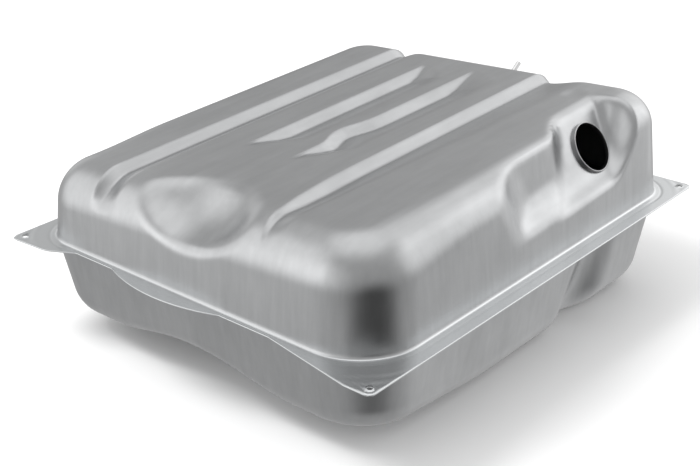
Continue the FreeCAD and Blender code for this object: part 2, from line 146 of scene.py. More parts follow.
# %%
CLOUD_SCALE = 11.0
SMEAR_SCALE = (9.0, 60.0, 60.0)
DRAWN_SCALE = (95.0, 95.0, 7.0)
ROLLED_SCALE = (40.0, 700.0, 700.0)
NOISE_SPAN = {"From_Min": 0.3, "From_Max": 0.7}
WALL_SPAN = {"From_Min": 0.75, "From_Max": 0.3}
# The band round the seam that gets a painted highlight: how near to the seam it lies, and the lighter colour
# painted there.
FLANGE_HIGHLIGHT_SPAN = {"From_Min": 0.0034, "From_Max": 0.0018}
FLANGE_HIGHLIGHT_COLOUR = "CFD1D2"


def grain(tree, place, scale, detail, roughness):
    """Noise that is drawn out along the tank or down its walls."""
    place = add_node(tree, "ShaderNodeMapping", Vector=place, Scale=scale).outputs[0]
    noise = add_node(tree, "ShaderNodeTexNoise", Vector=place, Scale=1.0, Detail=detail, Roughness=roughness)
    return noise.outputs[0]


def coated_steel(name, code, roughness, cloud=0.055, streak=0.06, seam=None):
    """Satin coated steel: a cloudy coat, roller scratches, streaks on the walls, and a painted highlight on
    the flange round the seam, which is also a little smoother.
    """
    material = bpy.data.materials.new(name)
    material.use_nodes = True
    tree = material.node_tree
    shader = tree.nodes["Principled BSDF"]
    place = add_node(tree, "ShaderNodeTexCoord").outputs["Object"]
    facing = add_node(tree, "ShaderNodeNewGeometry").outputs["Normal"]
    upright = add_node(tree, "ShaderNodeSeparateXYZ", Vector=facing).outputs["Z"]
    upright = add_node(tree, "ShaderNodeMath", {"operation": "ABSOLUTE"}, i0=upright).outputs[0]
    wall = add_node(tree, "ShaderNodeMapRange", Value=upright, **WALL_SPAN).outputs[0]

    clouds = add_node(tree, "ShaderNodeTexNoise", Vector=place, Scale=CLOUD_SCALE, Detail=4.0, Roughness=0.62)
    clouds = clouds.outputs[0]
    smears = grain(tree, place, SMEAR_SCALE, 3.0, 0.55)
    drawn = grain(tree, place, DRAWN_SCALE, 3.0, 0.6)
    rolled = grain(tree, place, ROLLED_SCALE, 2.0, 0.5)

    lines = result(add_node(tree, "ShaderNodeMix", {"data_type": "FLOAT"}, Factor=wall, A=smears, B=drawn))
    shades = []
    for noise, depth in ((clouds, cloud), (lines, streak)):
        shade = add_node(tree, "ShaderNodeMapRange", {"clamp": False}, Value=noise,
                         To_Min=1.0 - depth, To_Max=1.0 + depth * 0.6, **NOISE_SPAN)
        shades.append(shade.outputs[0])
    shade = add_node(tree, "ShaderNodeMath", {"operation": "MULTIPLY"}, i0=shades[0], i1=shades[1]).outputs[0]
    colour = result(add_node(tree, "ShaderNodeMix", {"data_type": "RGBA", "blend_type": "MULTIPLY"},
                             Factor=1.0, A=linear(code), B=shade))
    rough = add_node(tree, "ShaderNodeMapRange", Value=clouds,
                     To_Min=roughness + 0.04, To_Max=roughness - 0.03, **NOISE_SPAN).outputs[0]
    # Within about 2 to 3 mm of the seam's height, which covers the whole flange, the colour is painted lighter
    # as a painted highlight, and the roughness is lowered.
    if seam is not None:
        height = add_node(tree, "ShaderNodeSeparateXYZ", Vector=place).outputs["Z"]
        height = add_node(tree, "ShaderNodeMath", {"operation": "SUBTRACT"}, i0=height, i1=seam).outputs[0]
        height = add_node(tree, "ShaderNodeMath", {"operation": "ABSOLUTE"}, i0=height).outputs[0]
        flange_highlight = add_node(tree, "ShaderNodeMapRange", Value=height, **FLANGE_HIGHLIGHT_SPAN).outputs[0]
        colour = result(add_node(tree, "ShaderNodeMix", {"data_type": "RGBA"},
                                 Factor=flange_highlight, A=colour, B=linear(FLANGE_HIGHLIGHT_COLOUR)))
        rough = result(add_node(tree, "ShaderNodeMix", {"data_type": "FLOAT"},
                                Factor=flange_highlight, A=rough, B=roughness - 0.04))
    bump = add_node(tree, "ShaderNodeBump", Strength=0.05, Distance=0.0004, Height=rolled)
    tree.links.new(colour, shader.inputs["Base Color"])
    tree.links.new(rough, shader.inputs["Roughness"])
    tree.links.new(bump.outputs[0], shader.inputs["Normal"])
    shader.inputs["Metallic"].default_value = 1.0
    return material


# The pressings: coated sheet, satin and even. Round the seam the flange is painted lighter, a painted
# highlight for its bright reflection, and is a little smoother.
sheet_steel = coated_steel("coated sheet steel", "B4B5B6", 0.32, seam=SEAM / 1000.0)
# The collar, the sender ring and the boss: drawn tube and turned steel under the same coat, a little smoother.
tube_steel = coated_steel("coated steel tube", "B0B0B1", 0.30, cloud=0.04, streak=0.03)
# The vent pipe: bright plated tube.
bright_steel = coated_steel("bright plated tube", "E6E6E6", 0.34, cloud=0.04, streak=0.03)
# The baffles: the duller side of the sheet, seen only inside.
inner_steel = coated_steel("inner sheet steel", "9A9B9C", 0.42)
print("steels:", [material.name for material in (sheet_steel, tube_steel, bright_steel, inner_steel)])

# %% [markdown]
# ## The camera
#
# The photograph is taken from the near corner, a little above the roof. A camera with this place, turn and
# lens puts the flange's four corners where the photograph has them.

# %%
CAMERA_PLACE = Vector((-1.3537, -1.1373, 0.95485))
SENSOR_WIDTH, LENS = 36.0, 66.92
CAMERA_AZIMUTH, CAMERA_ELEVATION, CAMERA_ROLL = (math.radians(v) for v in (-49.29, 25.39, -0.74))
camera_back = Vector((
    math.sin(CAMERA_AZIMUTH) * math.cos(CAMERA_ELEVATION),
    -math.cos(CAMERA_AZIMUTH) * math.cos(CAMERA_ELEVATION),
    math.sin(CAMERA_ELEVATION),
))
camera_data = bpy.data.cameras.new("camera")
camera_data.sensor_width, camera_data.lens = SENSOR_WIDTH, LENS
camera = bpy.data.objects.new("camera", camera_data)
bpy.context.scene.collection.objects.link(camera)
level_turn = camera_back.to_track_quat("Z", "Y").to_matrix()
camera_turn = level_turn @ Matrix.Rotation(CAMERA_ROLL, 3, "Z")
camera.matrix_world = Matrix.Translation(CAMERA_PLACE) @ camera_turn.to_4x4()
bpy.context.scene.camera = camera
print("the camera is", round(CAMERA_PLACE.length, 2), "m from the tank's foot")

# %% [markdown]
# ## The body as a distance
#
# A pressing has no sharp edge: the sheet bends round the punch. One way to draw that is to write the body
# as a distance, which is below zero inside and above it outside, and to join its faces with a maximum that
# is rounded off near the join. The rounding length is the press radius, so each edge gets the softness it
# has.

# %%
def smooth_max(first, second, blend):
    """The larger of two distances, rounded off where they are nearly equal."""
    share = np.maximum(blend - np.abs(first - second), 0.0) / blend
    return np.maximum(first, second) + share * share * blend / 4


def round_join(first, second, cosine, radius):
    """The larger of two distances, with a rolled arc between faces whose facings have this cosine."""
    u, v = first + radius, second + radius
    corner = np.sqrt(np.maximum(u * u + v * v - 2 * u * v * cosine, 0.0) / (1 - cosine * cosine)) - radius
    return np.where((u > v * cosine) & (v > u * cosine), corner, np.maximum(first, second))


def wall_parts(x, y, rise, draft):
    """Distance outside the four drafted walls, and the way that they face in plan."""
    step = rise * math.tan(math.radians(draft))
    middle_x, middle_y = (FEET[0] + FEET[1]) / 2, (FEET[2] + FEET[3]) / 2
    radius = np.where((x < middle_x) & (y < middle_y), NEAR_CORNER, OTHER_CORNER)
    over_x = np.abs(x - middle_x) - ((FEET[1] - FEET[0]) / 2 - step) + radius
    over_y = np.abs(y - middle_y) - ((FEET[3] - FEET[2]) / 2 - step) + radius
    outside = np.hypot(np.maximum(over_x, 0.0), np.maximum(over_y, 0.0))
    inside = np.minimum(np.maximum(over_x, over_y), 0.0)
    gap = (outside + inside - radius) * math.cos(math.radians(draft))
    length = np.maximum(outside, 1e-6)
    face_x = np.where(outside > 0, np.maximum(over_x, 0.0) / length, over_x >= over_y)
    face_y = np.where(outside > 0, np.maximum(over_y, 0.0) / length, over_y > over_x)
    return gap, face_x * np.sign(x - middle_x), face_y * np.sign(y - middle_y)


def wall_gap(x, y, rise, draft):
    """Distance outside the four drafted walls."""
    return wall_parts(x, y, rise, draft)[0]


def outline_gap(x, y, corners):
    """Distance outside a closed outline of straight lines in plan."""
    nearest = np.full(np.shape(x), np.inf)
    inside = np.zeros(np.shape(x), bool)
    for (ax, ay), (bx, by) in zip(corners, corners[1:] + corners[:1]):
        ex, ey = bx - ax, by - ay
        share = np.clip(((x - ax) * ex + (y - ay) * ey) / (ex * ex + ey * ey), 0.0, 1.0)
        nearest = np.minimum(nearest, np.hypot(x - ax - share * ex, y - ay - share * ey))
        inside ^= ((ay > y) != (by > y)) & (((x - ax) * ey < ex * (y - ay)) == (ey > 0))
    return np.where(inside, -nearest, nearest)


def plane_gap(x, y, z, point, facing):
    """Distance behind a plane."""
    facing = np.asarray(facing, float) / np.linalg.norm(facing)
    return -((x - point[0]) * facing[0] + (y - point[1]) * facing[1] + (z - point[2]) * facing[2])


def ball_gap(x, y, z, middle, radius):
    """Distance outside a ball."""
    return np.sqrt((x - middle[0]) ** 2 + (y - middle[1]) ** 2 + (z - middle[2]) ** 2) - radius


def rod_gap(x, y, z, start, way, radius):
    """Distance outside an endless rod."""
    way = np.asarray(way, float) / np.linalg.norm(way)
    dx, dy, dz = x - start[0], y - start[1], z - start[2]
    along = dx * way[0] + dy * way[1] + dz * way[2]
    dx, dy, dz = dx - along * way[0], dy - along * way[1], dz - along * way[2]
    return np.sqrt(dx ** 2 + dy ** 2 + dz ** 2) - radius


# %% [markdown]
# ## The upper pressing
#
# The roof falls a little to the plain side and rises to the rear. Two channels run out over both shoulders
# and two end on the roof, which stiffens it. A punch leaves a round scoop in the front shoulder. A pocket of
# two parts holds the filler: a long recess over a slanted ledge, and a pad square to the filler's axis. The
# lists below give the faces of each as a point and a facing.

# %%
def roof_height(x, y):
    """Height of the roof above the seam."""
    return ROOF + ROOF_TO_REAR * x + ROOF_TO_SIDE * y


FRONT_SOFT, FRONT_EXTRA = (120.0, 260.0), 14.0


def upper_form(x, y, z):
    """Plain upper body, with a softer shoulder at the front."""
    steep = math.sqrt(1 + ROOF_TO_REAR ** 2 + ROOF_TO_SIDE ** 2)
    roof = (z - roof_height(x, y)) / steep
    wall, face_x, face_y = wall_parts(x, y, z, UPPER["draft"])
    draft = math.radians(UPPER["draft"])
    cosine = (math.sin(draft) - math.cos(draft) * (face_x * ROOF_TO_REAR + face_y * ROOF_TO_SIDE)) / steep
    front = np.clip((FRONT_SOFT[1] - x) / (FRONT_SOFT[1] - FRONT_SOFT[0]), 0.0, 1.0)
    return round_join(wall, roof, cosine, UPPER["radius"] + FRONT_EXTRA * front * front * (3 - 2 * front))


CHANNEL_DEPTH, CHANNEL_RUN = 11.0, 17.0
CREASE_DEPTH, CREASE_WIDTH = 1.2, 4.0
CHANNEL_ENDS = (50.0, 34.0)
CHANNELS = [
    {
        "crest": [(0, 534), (780, 534)],
        "foot": [(0, 517), (780, 517)],
        "rim": [(0, 482), (780, 476)],
    },
    {
        "crest": [(0, 212), (48, 216), (90, 227), (140, 236), (200, 242), (260, 243), (780, 243)],
        "foot": [(0, 212), (48, 216), (120, 221), (200, 224), (260, 226), (780, 226)],
        "rim": [(0, 196), (780, 150)],
    },
    {
        "crest": [(238, 430), (662, 430)],
        "foot": [(238, 430), (256, 427), (275, 422), (300, 415.5), (320, 413), (600, 413), (622, 417),
                 (662, 430)],
        "rim": [(238, 420), (310, 366), (620, 360), (662, 414)],
    },
    {
        "crest": [(230, 336), (298, 337), (310, 339), (320, 343), (330, 348), (344, 352), (360, 353),
                  (374, 351), (390, 346), (410, 342), (436, 340), (674, 340)],
        "foot": [(230, 336), (262, 332), (290, 325), (308, 322.5), (322, 324), (334, 329), (346, 334),
                 (360, 336), (374, 333.5), (390, 328), (410, 324), (436, 323), (580, 323), (604, 326),
                 (632, 332), (674, 340)],
        "rim": [(230, 330), (310, 278), (640, 274), (674, 326)],
    },
]


def line_at(x, knots):
    """Where a line in plan lies across the tank."""
    return np.interp(x, [knot[0] for knot in knots], [knot[1] for knot in knots])


def channel_depth(x, y, channel):
    """How deep a channel is: a steep side with a fine crease at its foot, and a floor that rises gently."""
    crest, foot, rim = (line_at(x, channel[name]) for name in ("crest", "foot", "rim"))
    share = np.minimum((crest - foot) / CHANNEL_RUN, 1.0)
    down = np.clip((crest - y) / np.maximum(crest - foot, 0.01), 0.0, 1.0)
    steep = (CHANNEL_DEPTH + CREASE_DEPTH) * down
    crease = CREASE_DEPTH * np.clip(1 - (foot - y) / CREASE_WIDTH, 0.0, 1.0)
    part = np.clip((y - rim) / np.maximum(foot - rim, 0.01), 0.0, 1.0)
    gentle = (CHANNEL_DEPTH * part * part * (3 - 2 * part)) + crease
    return share * np.where(y > foot, steep, gentle)


DENTS = [(513.0, 192.0), (637.0, 188.0), (650.0, 150.0)]
DENT_RADIUS, DENT_DEPTH, DENT_EDGE = 17.0, 1.4, 1.0
POCKET_END = ((662, 72, 150), (-0.88, -0.15, 0.42))
POCKET_HEEL = ((606, 33, 66), (-0.68, 0.085, 0.73))
RECESS = [
    ((446, 32.6, 58.6), (-0.034, -0.632, 0.775)),
    ((440, 71, 147), (0.02, -0.99, 0.12)),
    ((353, 32.3, 54.8), (0.42, -0.85, 0.30)),
    POCKET_END,
    POCKET_HEEL,
]
PAD = [
    ((593, 56.3, 68.5), (-0.05, -0.30, 0.95)),
    (tuple(PAD_POINT), tuple(COLLAR_AXIS)),
    ((484, 73, 149), (0.485, -0.85, 0.203)),
    POCKET_END,
    POCKET_HEEL,
]
POCKET_FILLET, POCKET_EDGE = 12.0, 9.0
SCOOP_ACROSS, SCOOP_LEAN = 352.0, math.radians(57.0)
SCOOP_RADIUS, SCOOP_DEPTH, SCOOP_EDGE = 150.0, 34.0, 14.0


def scoop_ball():
    """Middle of the ball that shapes the scoop."""
    top = roof_height(FEET[0], SCOOP_ACROSS)
    hub_x = FEET[0] + top * math.tan(math.radians(UPPER["draft"])) + UPPER["radius"]
    out = UPPER["radius"] + SCOOP_RADIUS - SCOOP_DEPTH
    middle_z = top - UPPER["radius"] + math.sin(SCOOP_LEAN) * out
    return hub_x - math.cos(SCOOP_LEAN) * out, SCOOP_ACROSS, middle_z


def tool_gap(x, y, z, planes):
    """Distance outside a punch with flat faces and soft edges."""
    gap = plane_gap(x, y, z, *planes[0])
    for point, facing in planes[1:]:
        gap = smooth_max(gap, plane_gap(x, y, z, point, facing), POCKET_FILLET)
    return gap


def upper_gap(x, y, z):
    """Upper body with all its pressings."""
    form = upper_form(x, y, z)
    below = roof_height(x, y) - z
    fade = np.clip((CHANNEL_ENDS[0] - below) / CHANNEL_ENDS[1], 0.0, 1.0)
    channels = sum(channel_depth(x, y, channel) for channel in CHANNELS)
    gap = form + channels * fade * fade * (3 - 2 * fade)
    gap = smooth_max(gap, -ball_gap(x, y, z, scoop_ball(), SCOOP_RADIUS), SCOOP_EDGE)
    ball = (DENT_RADIUS ** 2 + DENT_DEPTH ** 2) / (2 * DENT_DEPTH)
    for dent_x, dent_y in DENTS:
        middle = (dent_x, dent_y, roof_height(dent_x, dent_y) + ball - DENT_DEPTH)
        gap = smooth_max(gap, -ball_gap(x, y, z, middle, ball), DENT_EDGE)
    for planes in (RECESS, PAD):
        gap = smooth_max(gap, -tool_gap(x, y, z, planes), POCKET_EDGE)
    return gap


# %% [markdown]
# ## The lower pressing
#
# The lower half is drafted more and has a level floor that rises to the front. An arched relief under the
# front edge, an upright notch in the filler side and two grooves for the straps clear what is round the
# tank in the car.

# %%
KEEL_BEND = 6.0
RELIEF_RADIUS, RELIEF_ACROSS, RELIEF_RISE, RELIEF_END, RELIEF_EDGE = 330.0, 352.0, 26.0, 330.0, 26.0
NOTCH_AT, NOTCH_DEPTH, NOTCH_RADIUS, NOTCH_LEAN = 566.0, 9.0, 46.0, math.radians(14.0)
NOTCH_TOP, NOTCH_FILLET, NOTCH_EDGE = 8.0, 16.0, 26.0
GROOVES, GROOVE_HALF, GROOVE_START, GROOVE_DEPTH = (205.0, 480.0), 22.0, 150.0, 3.0


def floor_height(x, y):
    """Height of the floor below the seam, with a soft bend where it starts to rise."""
    rise = (KEEL_START - x) * KEEL_SLOPE
    return -SEAM + 0.5 * (rise + np.sqrt(rise * rise + KEEL_BEND))


def lower_form(x, y, z):
    """Plain lower body."""
    slope = np.where(x < KEEL_START, KEEL_SLOPE, 0.0)
    steep = np.sqrt(1 + slope * slope)
    floor = (floor_height(x, y) - z) / steep
    wall, face_x, _ = wall_parts(x, y, -z, LOWER["draft"])
    draft = math.radians(LOWER["draft"])
    cosine = (math.sin(draft) - math.cos(draft) * face_x * slope) / steep
    return round_join(wall, floor, cosine, LOWER["radius"])


def lower_gap(x, y, z):
    """Lower body with all its pressings."""
    form = lower_form(x, y, z)
    front_level = (KEEL_START - FEET[0]) * KEEL_SLOPE + RELIEF_RISE - SEAM
    start = (FEET[0], RELIEF_ACROSS, front_level - RELIEF_RADIUS)
    end = (RELIEF_END, RELIEF_ACROSS, -SEAM - RELIEF_RADIUS)
    relief = rod_gap(x, y, z, start, np.subtract(end, start), RELIEF_RADIUS)
    gap = smooth_max(form, -relief, RELIEF_EDGE)
    down = (-math.sin(NOTCH_LEAN), math.sin(NOTCH_LEAN), -math.cos(NOTCH_LEAN))
    notch = rod_gap(x, y, z, (NOTCH_AT, FEET[2] + NOTCH_DEPTH - NOTCH_RADIUS, 0.0), down, NOTCH_RADIUS)
    gap = smooth_max(gap, -smooth_max(notch, z + NOTCH_TOP, NOTCH_FILLET), NOTCH_EDGE)
    for middle in GROOVES:
        groove = smooth_max(np.abs(y - middle) - GROOVE_HALF, GROOVE_START - x, 12.0)
        gap = smooth_max(gap, -smooth_max(groove, -(form + GROOVE_DEPTH), 3.0), 4.0)
    return gap


# %% [markdown]
# ## The flange
#
# Both pressings keep a flat rim of the blank. It is straight on three sides, and along the front it is
# trimmed back in scallops so that only two tabs and a round lobe stand out. A roller welder then runs round
# it and leaves a shallow track.

# %%
def arc_points(start, middle, end, count):
    """Points on the arc through three points in plan."""
    (ax, ay), (bx, by), (cx, cy) = start, middle, end
    det = 2 * (ax * (by - cy) + bx * (cy - ay) + cx * (ay - by))
    sa, sb, sc = ax * ax + ay * ay, bx * bx + by * by, cx * cx + cy * cy
    hub_x = (sa * (by - cy) + sb * (cy - ay) + sc * (ay - by)) / det
    hub_y = (sa * (cx - bx) + sb * (ax - cx) + sc * (bx - ax)) / det
    first, last = math.atan2(ay - hub_y, ax - hub_x), math.atan2(cy - hub_y, cx - hub_x)
    turn = (last - first + math.pi) % (2 * math.pi) - math.pi
    radius = math.hypot(ax - hub_x, ay - hub_y)
    angles = [first + turn * index / count for index in range(count + 1)]
    return [(hub_x + radius * math.cos(angle), hub_y + radius * math.sin(angle)) for angle in angles]


def tip_points(corner, way_in, way_out, radius=9.0, count=8):
    """Blunt tip of a square tab."""
    hub = (corner[0] + radius * (way_in[0] + way_out[0]), corner[1] + radius * (way_in[1] + way_out[1]))
    first = math.atan2(-way_out[1], -way_out[0])
    last = math.atan2(-way_in[1], -way_in[0])
    turn = (last - first + math.pi) % (2 * math.pi) - math.pi
    angles = [first + turn * index / count for index in range(count + 1)]
    return [(hub[0] + radius * math.cos(angle), hub[1] + radius * math.sin(angle)) for angle in angles]


FRONT_STRIP, LOBE_REACH = 8.0, 20.0


def flange_outline():
    """Edge of the flange in plan, from the near corner round by the rear."""
    length, width = FLANGE
    strip = FEET[0] - FRONT_STRIP
    points = tip_points((0.0, 0.0), (0, 1), (1, 0))
    points += tip_points((length, 0.0), (-1, 0), (0, 1))
    points += tip_points((length, width), (0, -1), (-1, 0))
    points += tip_points((0.0, width), (1, 0), (0, -1))
    points += [(4.0, 598.0), (strip, 555.0)]
    points += arc_points((strip, 480.0), (strip - LOBE_REACH, 376.0), (strip, 272.0), 24)
    points += [(strip, 185.0), (0.0, 40.0)]
    return points


OUTLINE = flange_outline()
print("the flange's edge has", len(OUTLINE), "points")


def reach_outline(start_x, start_y, way_x, way_y):
    """How far each ray in plan goes before it meets the flange's edge."""
    best = np.full(start_x.shape, np.inf)
    for (ax, ay), (bx, by) in zip(OUTLINE, OUTLINE[1:] + OUTLINE[:1]):
        ex, ey = bx - ax, by - ay
        det = way_x * ey - way_y * ex
        det = np.where(np.abs(det) < 1e-9, 1e-9, det)
        far = ((ax - start_x) * ey - (ay - start_y) * ex) / det
        share = ((ax - start_x) * way_y - (ay - start_y) * way_x) / det
        hit = (share >= -1e-6) & (share <= 1 + 1e-6) & (far > 0)
        best = np.where(hit & (far < best), far, best)
    return best


# %% [markdown]
# ## Wrapping a grid round a pressing
#
# A patch of straight rows covers the middle, and columns run out from its rim over the shoulder, down the
# wall and across the flange. Each point starts on the plain body and slides inwards along its own line
# until it meets the pressed one, so channels, scoop and pocket are drawn by where the points stop. The
# lines tilt so that they meet the slanted faces nearly square on.

# %%
def spaced(stops, steps):
    """Values along one side, with a stop at each kink."""
    values = []
    steps = steps if isinstance(steps, tuple) else (steps,) * (len(stops) - 1)
    for low, high, step in zip(stops, stops[1:], steps):
        count = max(1, round((high - low) / step))
        values += list(np.linspace(low, high, count + 1)[:-1])
    return np.array(values + [stops[-1]])


def slide(gap, x, y, z, way, rounds=60):
    """Points moved along their ways until they meet the surface."""
    live = np.arange(len(x))
    for _ in range(rounds):
        far = gap(x[live], y[live], z[live])
        step = 0.85 * far
        x[live] += way[0][live] * step
        y[live] += way[1][live] * step
        z[live] += way[2][live] * step
        live = live[np.abs(far) > 0.01]
        if len(live) == 0:
            break
    return x, y, z


def columns(core, side_x, side_y, fan):
    """Start and plan direction of each column, round the core from the near corner."""
    low_x, high_x, low_y, high_y = core
    starts, ways = [], []

    def fan_out(corner, first):
        for index in range(1, fan):
            part = 2 * index / fan - 1
            angle = first + math.pi / 4 * (1 + math.copysign(abs(part) ** 1.35, part))
            starts.append(corner)
            ways.append((math.cos(angle), math.sin(angle)))

    for value in side_x:
        starts.append((value, low_y))
        ways.append((0.0, -1.0))
    fan_out((high_x, low_y), -math.pi / 2)
    for value in side_y:
        starts.append((high_x, value))
        ways.append((1.0, 0.0))
    fan_out((high_x, high_y), 0.0)
    for value in side_x[::-1]:
        starts.append((value, high_y))
        ways.append((0.0, 1.0))
    fan_out((low_x, high_y), math.pi / 2)
    for value in side_y[::-1]:
        starts.append((low_x, value))
        ways.append((-1.0, 0.0))
    fan_out((low_x, low_y), math.pi)
    return np.array(starts), np.array(ways)


# %% [markdown]
# ## Rows of points
#
# Each pressing is drawn in rows that run round it. The first ones leave the middle patch and pass over the
# shoulder and down the wall. The others turn out at the foot and cross the flange, where the roller's track
# is a shallow groove and the tabs carry a faint ripple.

# %%
TRACK_FROM_FOOT, TRACK_HALF = 7.0, 2.6
TRACK_SECTION = [(-1.25, 0.0), (-0.9, 0.12), (-0.45, 0.34), (0.0, 0.4), (0.45, 0.34), (0.9, 0.12),
                 (1.25, 0.0)]
RIPPLE_START, RIPPLE_RAMP, RIPPLE_END, RIPPLE_HEIGHT, RIPPLE_LENGTH = 26.0, 16.0, 14.0, 0.7, 15.0
RIM_ROUND = 0.4


def wall_reach(starts, ways, height, draft, first, rounds):
    """How far each column goes in plan before it meets the drafted wall at a height."""
    far = np.full(len(starts), 0.0) + first
    for _ in range(rounds):
        far = far - wall_gap(starts[:, 0] + ways[:, 0] * far, starts[:, 1] + ways[:, 1] * far, height, draft)
    return far


def body_rows(shape, level, starts, ways, strip_rows, arc_rows, wall_rows):
    """Rows over the shoulder and down the wall, each with how far round the bend it is."""
    way, radius, draft = shape["way"], shape["radius"], shape["draft"]
    count = len(starts)
    cx, cy, nx, ny = starts[:, 0], starts[:, 1], ways[:, 0], ways[:, 1]
    bend_level = np.mean(way * level(cx, cy) - radius)
    top_wall = wall_reach(starts, ways, np.zeros(count) + bend_level, draft, 60.0, 30)
    spine = np.maximum(top_wall - radius, 0.5)
    rows = []
    for index in range(1, strip_rows + 1):
        far = spine * index / strip_rows
        x, y = cx + nx * far, cy + ny * far
        rows.append((x, y, level(x, y), np.zeros(count)))
    for index in range(1, arc_rows + 1):
        angle = math.pi / 2 * index / arc_rows
        far = spine + (top_wall - spine) * math.sin(angle)
        x, y = cx + nx * far, cy + ny * far
        z = level(x, y) - way * radius * (1 - math.cos(angle))
        rows.append((x, y, z, np.full(count, angle)))
    foot = way * (SHEET + FOOT_RADIUS)
    low_z = rows[-1][2]
    for index in range(1, wall_rows + 1):
        z = low_z + (foot - low_z) * index / wall_rows
        far = wall_reach(starts, ways, way * z, draft, top_wall, 12)
        rows.append((cx + nx * far, cy + ny * far, z, np.full(count, math.pi / 2)))
    return rows


def flange_rows(shape, starts, ways, tab_rows):
    """How far out and how high each row of the foot and the flange is."""
    flat = np.zeros(len(starts))
    foot_far = wall_reach(starts, ways, flat + SHEET, shape["draft"], 60.0, 30)
    edge_far = reach_outline(starts[:, 0], starts[:, 1], ways[:, 0], ways[:, 1])
    rows = []
    for index in range(1, 5):
        angle = math.pi / 2 * index / 4
        far = foot_far + FOOT_RADIUS * (1 - math.cos(angle))
        rows.append((far, flat + SHEET + FOOT_RADIUS * (1 - math.sin(angle))))
    inner = foot_far + FOOT_RADIUS
    room = edge_far - inner
    track = inner + np.minimum(TRACK_FROM_FOOT, 0.5 * room)
    half = np.minimum(TRACK_HALF, 0.3 * room)
    for part, drop in TRACK_SECTION:
        rows.append((track + half * part, flat + SHEET - drop))
    outer = rows[-1][0]
    for index in range(1, tab_rows + 1):
        far = outer + (edge_far - RIM_ROUND - outer) * index / tab_rows
        beyond = far - foot_far
        calm = np.clip((beyond - RIPPLE_START) / RIPPLE_RAMP, 0.0, 1.0)
        calm = calm * np.clip((edge_far - far) / RIPPLE_END, 0.0, 1.0)
        ripple = RIPPLE_HEIGHT * calm * np.sin(beyond / RIPPLE_LENGTH * 2 * math.pi)
        rows.append((far, flat + SHEET + ripple))
    rows.append((edge_far, flat + SHEET - RIM_ROUND))
    rows.append((edge_far, flat))
    return rows


# %% [markdown]
# ## Joining the rows
#
# The middle patch is a plain grid. Its rim, walked once round in the order of the columns, is the first
# ring, and each row makes the next one. A fan at a corner starts from one point, so its first faces are
# triangles.

# %%
SIDE_STOPS_X = (232.0, 420.0, 490.0)
SIDE_STOPS_Y = (222.0, 226.0, 243.0, 323.0, 340.0, 409.0, 413.0, 430.0, 513.0, 517.0, 534.0)


def join_rows(along, across, fan, count, repeat):
    """Faces of the middle patch and of the rows round it."""
    faces = []
    for i in range(along - 1):
        for j in range(across - 1):
            a = i * across + j
            faces.append((a, a + across, a + across + 1, a + 1))
    last = (along - 1) * across
    ring = [i * across for i in range(along)] + [last] * (fan - 1)
    ring += [last + j for j in range(across)] + [last + across - 1] * (fan - 1)
    ring += [i * across + across - 1 for i in range(along - 1, -1, -1)] + [across - 1] * (fan - 1)
    ring += list(range(across - 1, -1, -1)) + [0] * (fan - 1)
    for row in range(repeat):
        here = [along * across + row * count + index for index in range(count)]
        for index in range(count):
            after = (index + 1) % count
            face = (ring[index], here[index], here[after], ring[after])
            if ring[index] == ring[after]:
                face = face[:3]
            faces.append(face)
        ring = here
    return faces


def wrap(shape, form, gap, level, step_x, step_y, fan, strip_rows, arc_rows, wall_rows, tab_rows):
    """Points and faces of one pressing, in millimetres."""
    core, way = shape["core"], shape["way"]
    side_x = spaced([core[0], *SIDE_STOPS_X, core[1]], step_x)
    side_y = spaced([core[2], *SIDE_STOPS_Y, core[3]], step_y)
    starts, ways = columns(core, side_x, side_y, fan)
    cx, cy, nx, ny = starts[:, 0], starts[:, 1], ways[:, 0], ways[:, 1]

    rows = body_rows(shape, level, starts, ways, strip_rows, arc_rows, wall_rows)
    x, y, z, bend = (np.concatenate([row[i] for row in rows]) for i in range(4))
    plan_x, plan_y = np.tile(nx, len(rows)), np.tile(ny, len(rows))
    tilt = bend * shape["tilt"] / 90.0
    inward = (-plan_x * np.sin(tilt), -plan_y * np.sin(tilt), -way * np.cos(tilt))
    x, y, z = slide(form, x, y, z, inward, 20)
    x, y, z = slide(gap, x, y, z, inward)

    grid_x, grid_y = (side.ravel() for side in np.meshgrid(side_x, side_y, indexing="ij"))
    flat = np.zeros(len(grid_x))
    grid = slide(gap, grid_x, grid_y, level(grid_x, grid_y), (flat, flat, flat - way))

    rim = flange_rows(shape, starts, ways, tab_rows)
    for far, height in rim:
        x = np.concatenate([x, cx + nx * far])
        y = np.concatenate([y, cy + ny * far])
        z = np.concatenate([z, way * height])
    points = np.concatenate([np.stack(grid, 1), np.stack([x, y, z], 1)])
    faces = join_rows(len(side_x), len(side_y), fan, len(starts), len(rows) + len(rim))
    if way < 0:
        faces = [face[::-1] for face in faces]
    return points, faces


# %% [markdown]
# ## Holes in the sheet
#
# A punched hole has a clean round edge, whatever the grid's rows do. The faces round it come out, and a fan
# of triangles joins what is left to a true circle with the sheet's own edge inside.

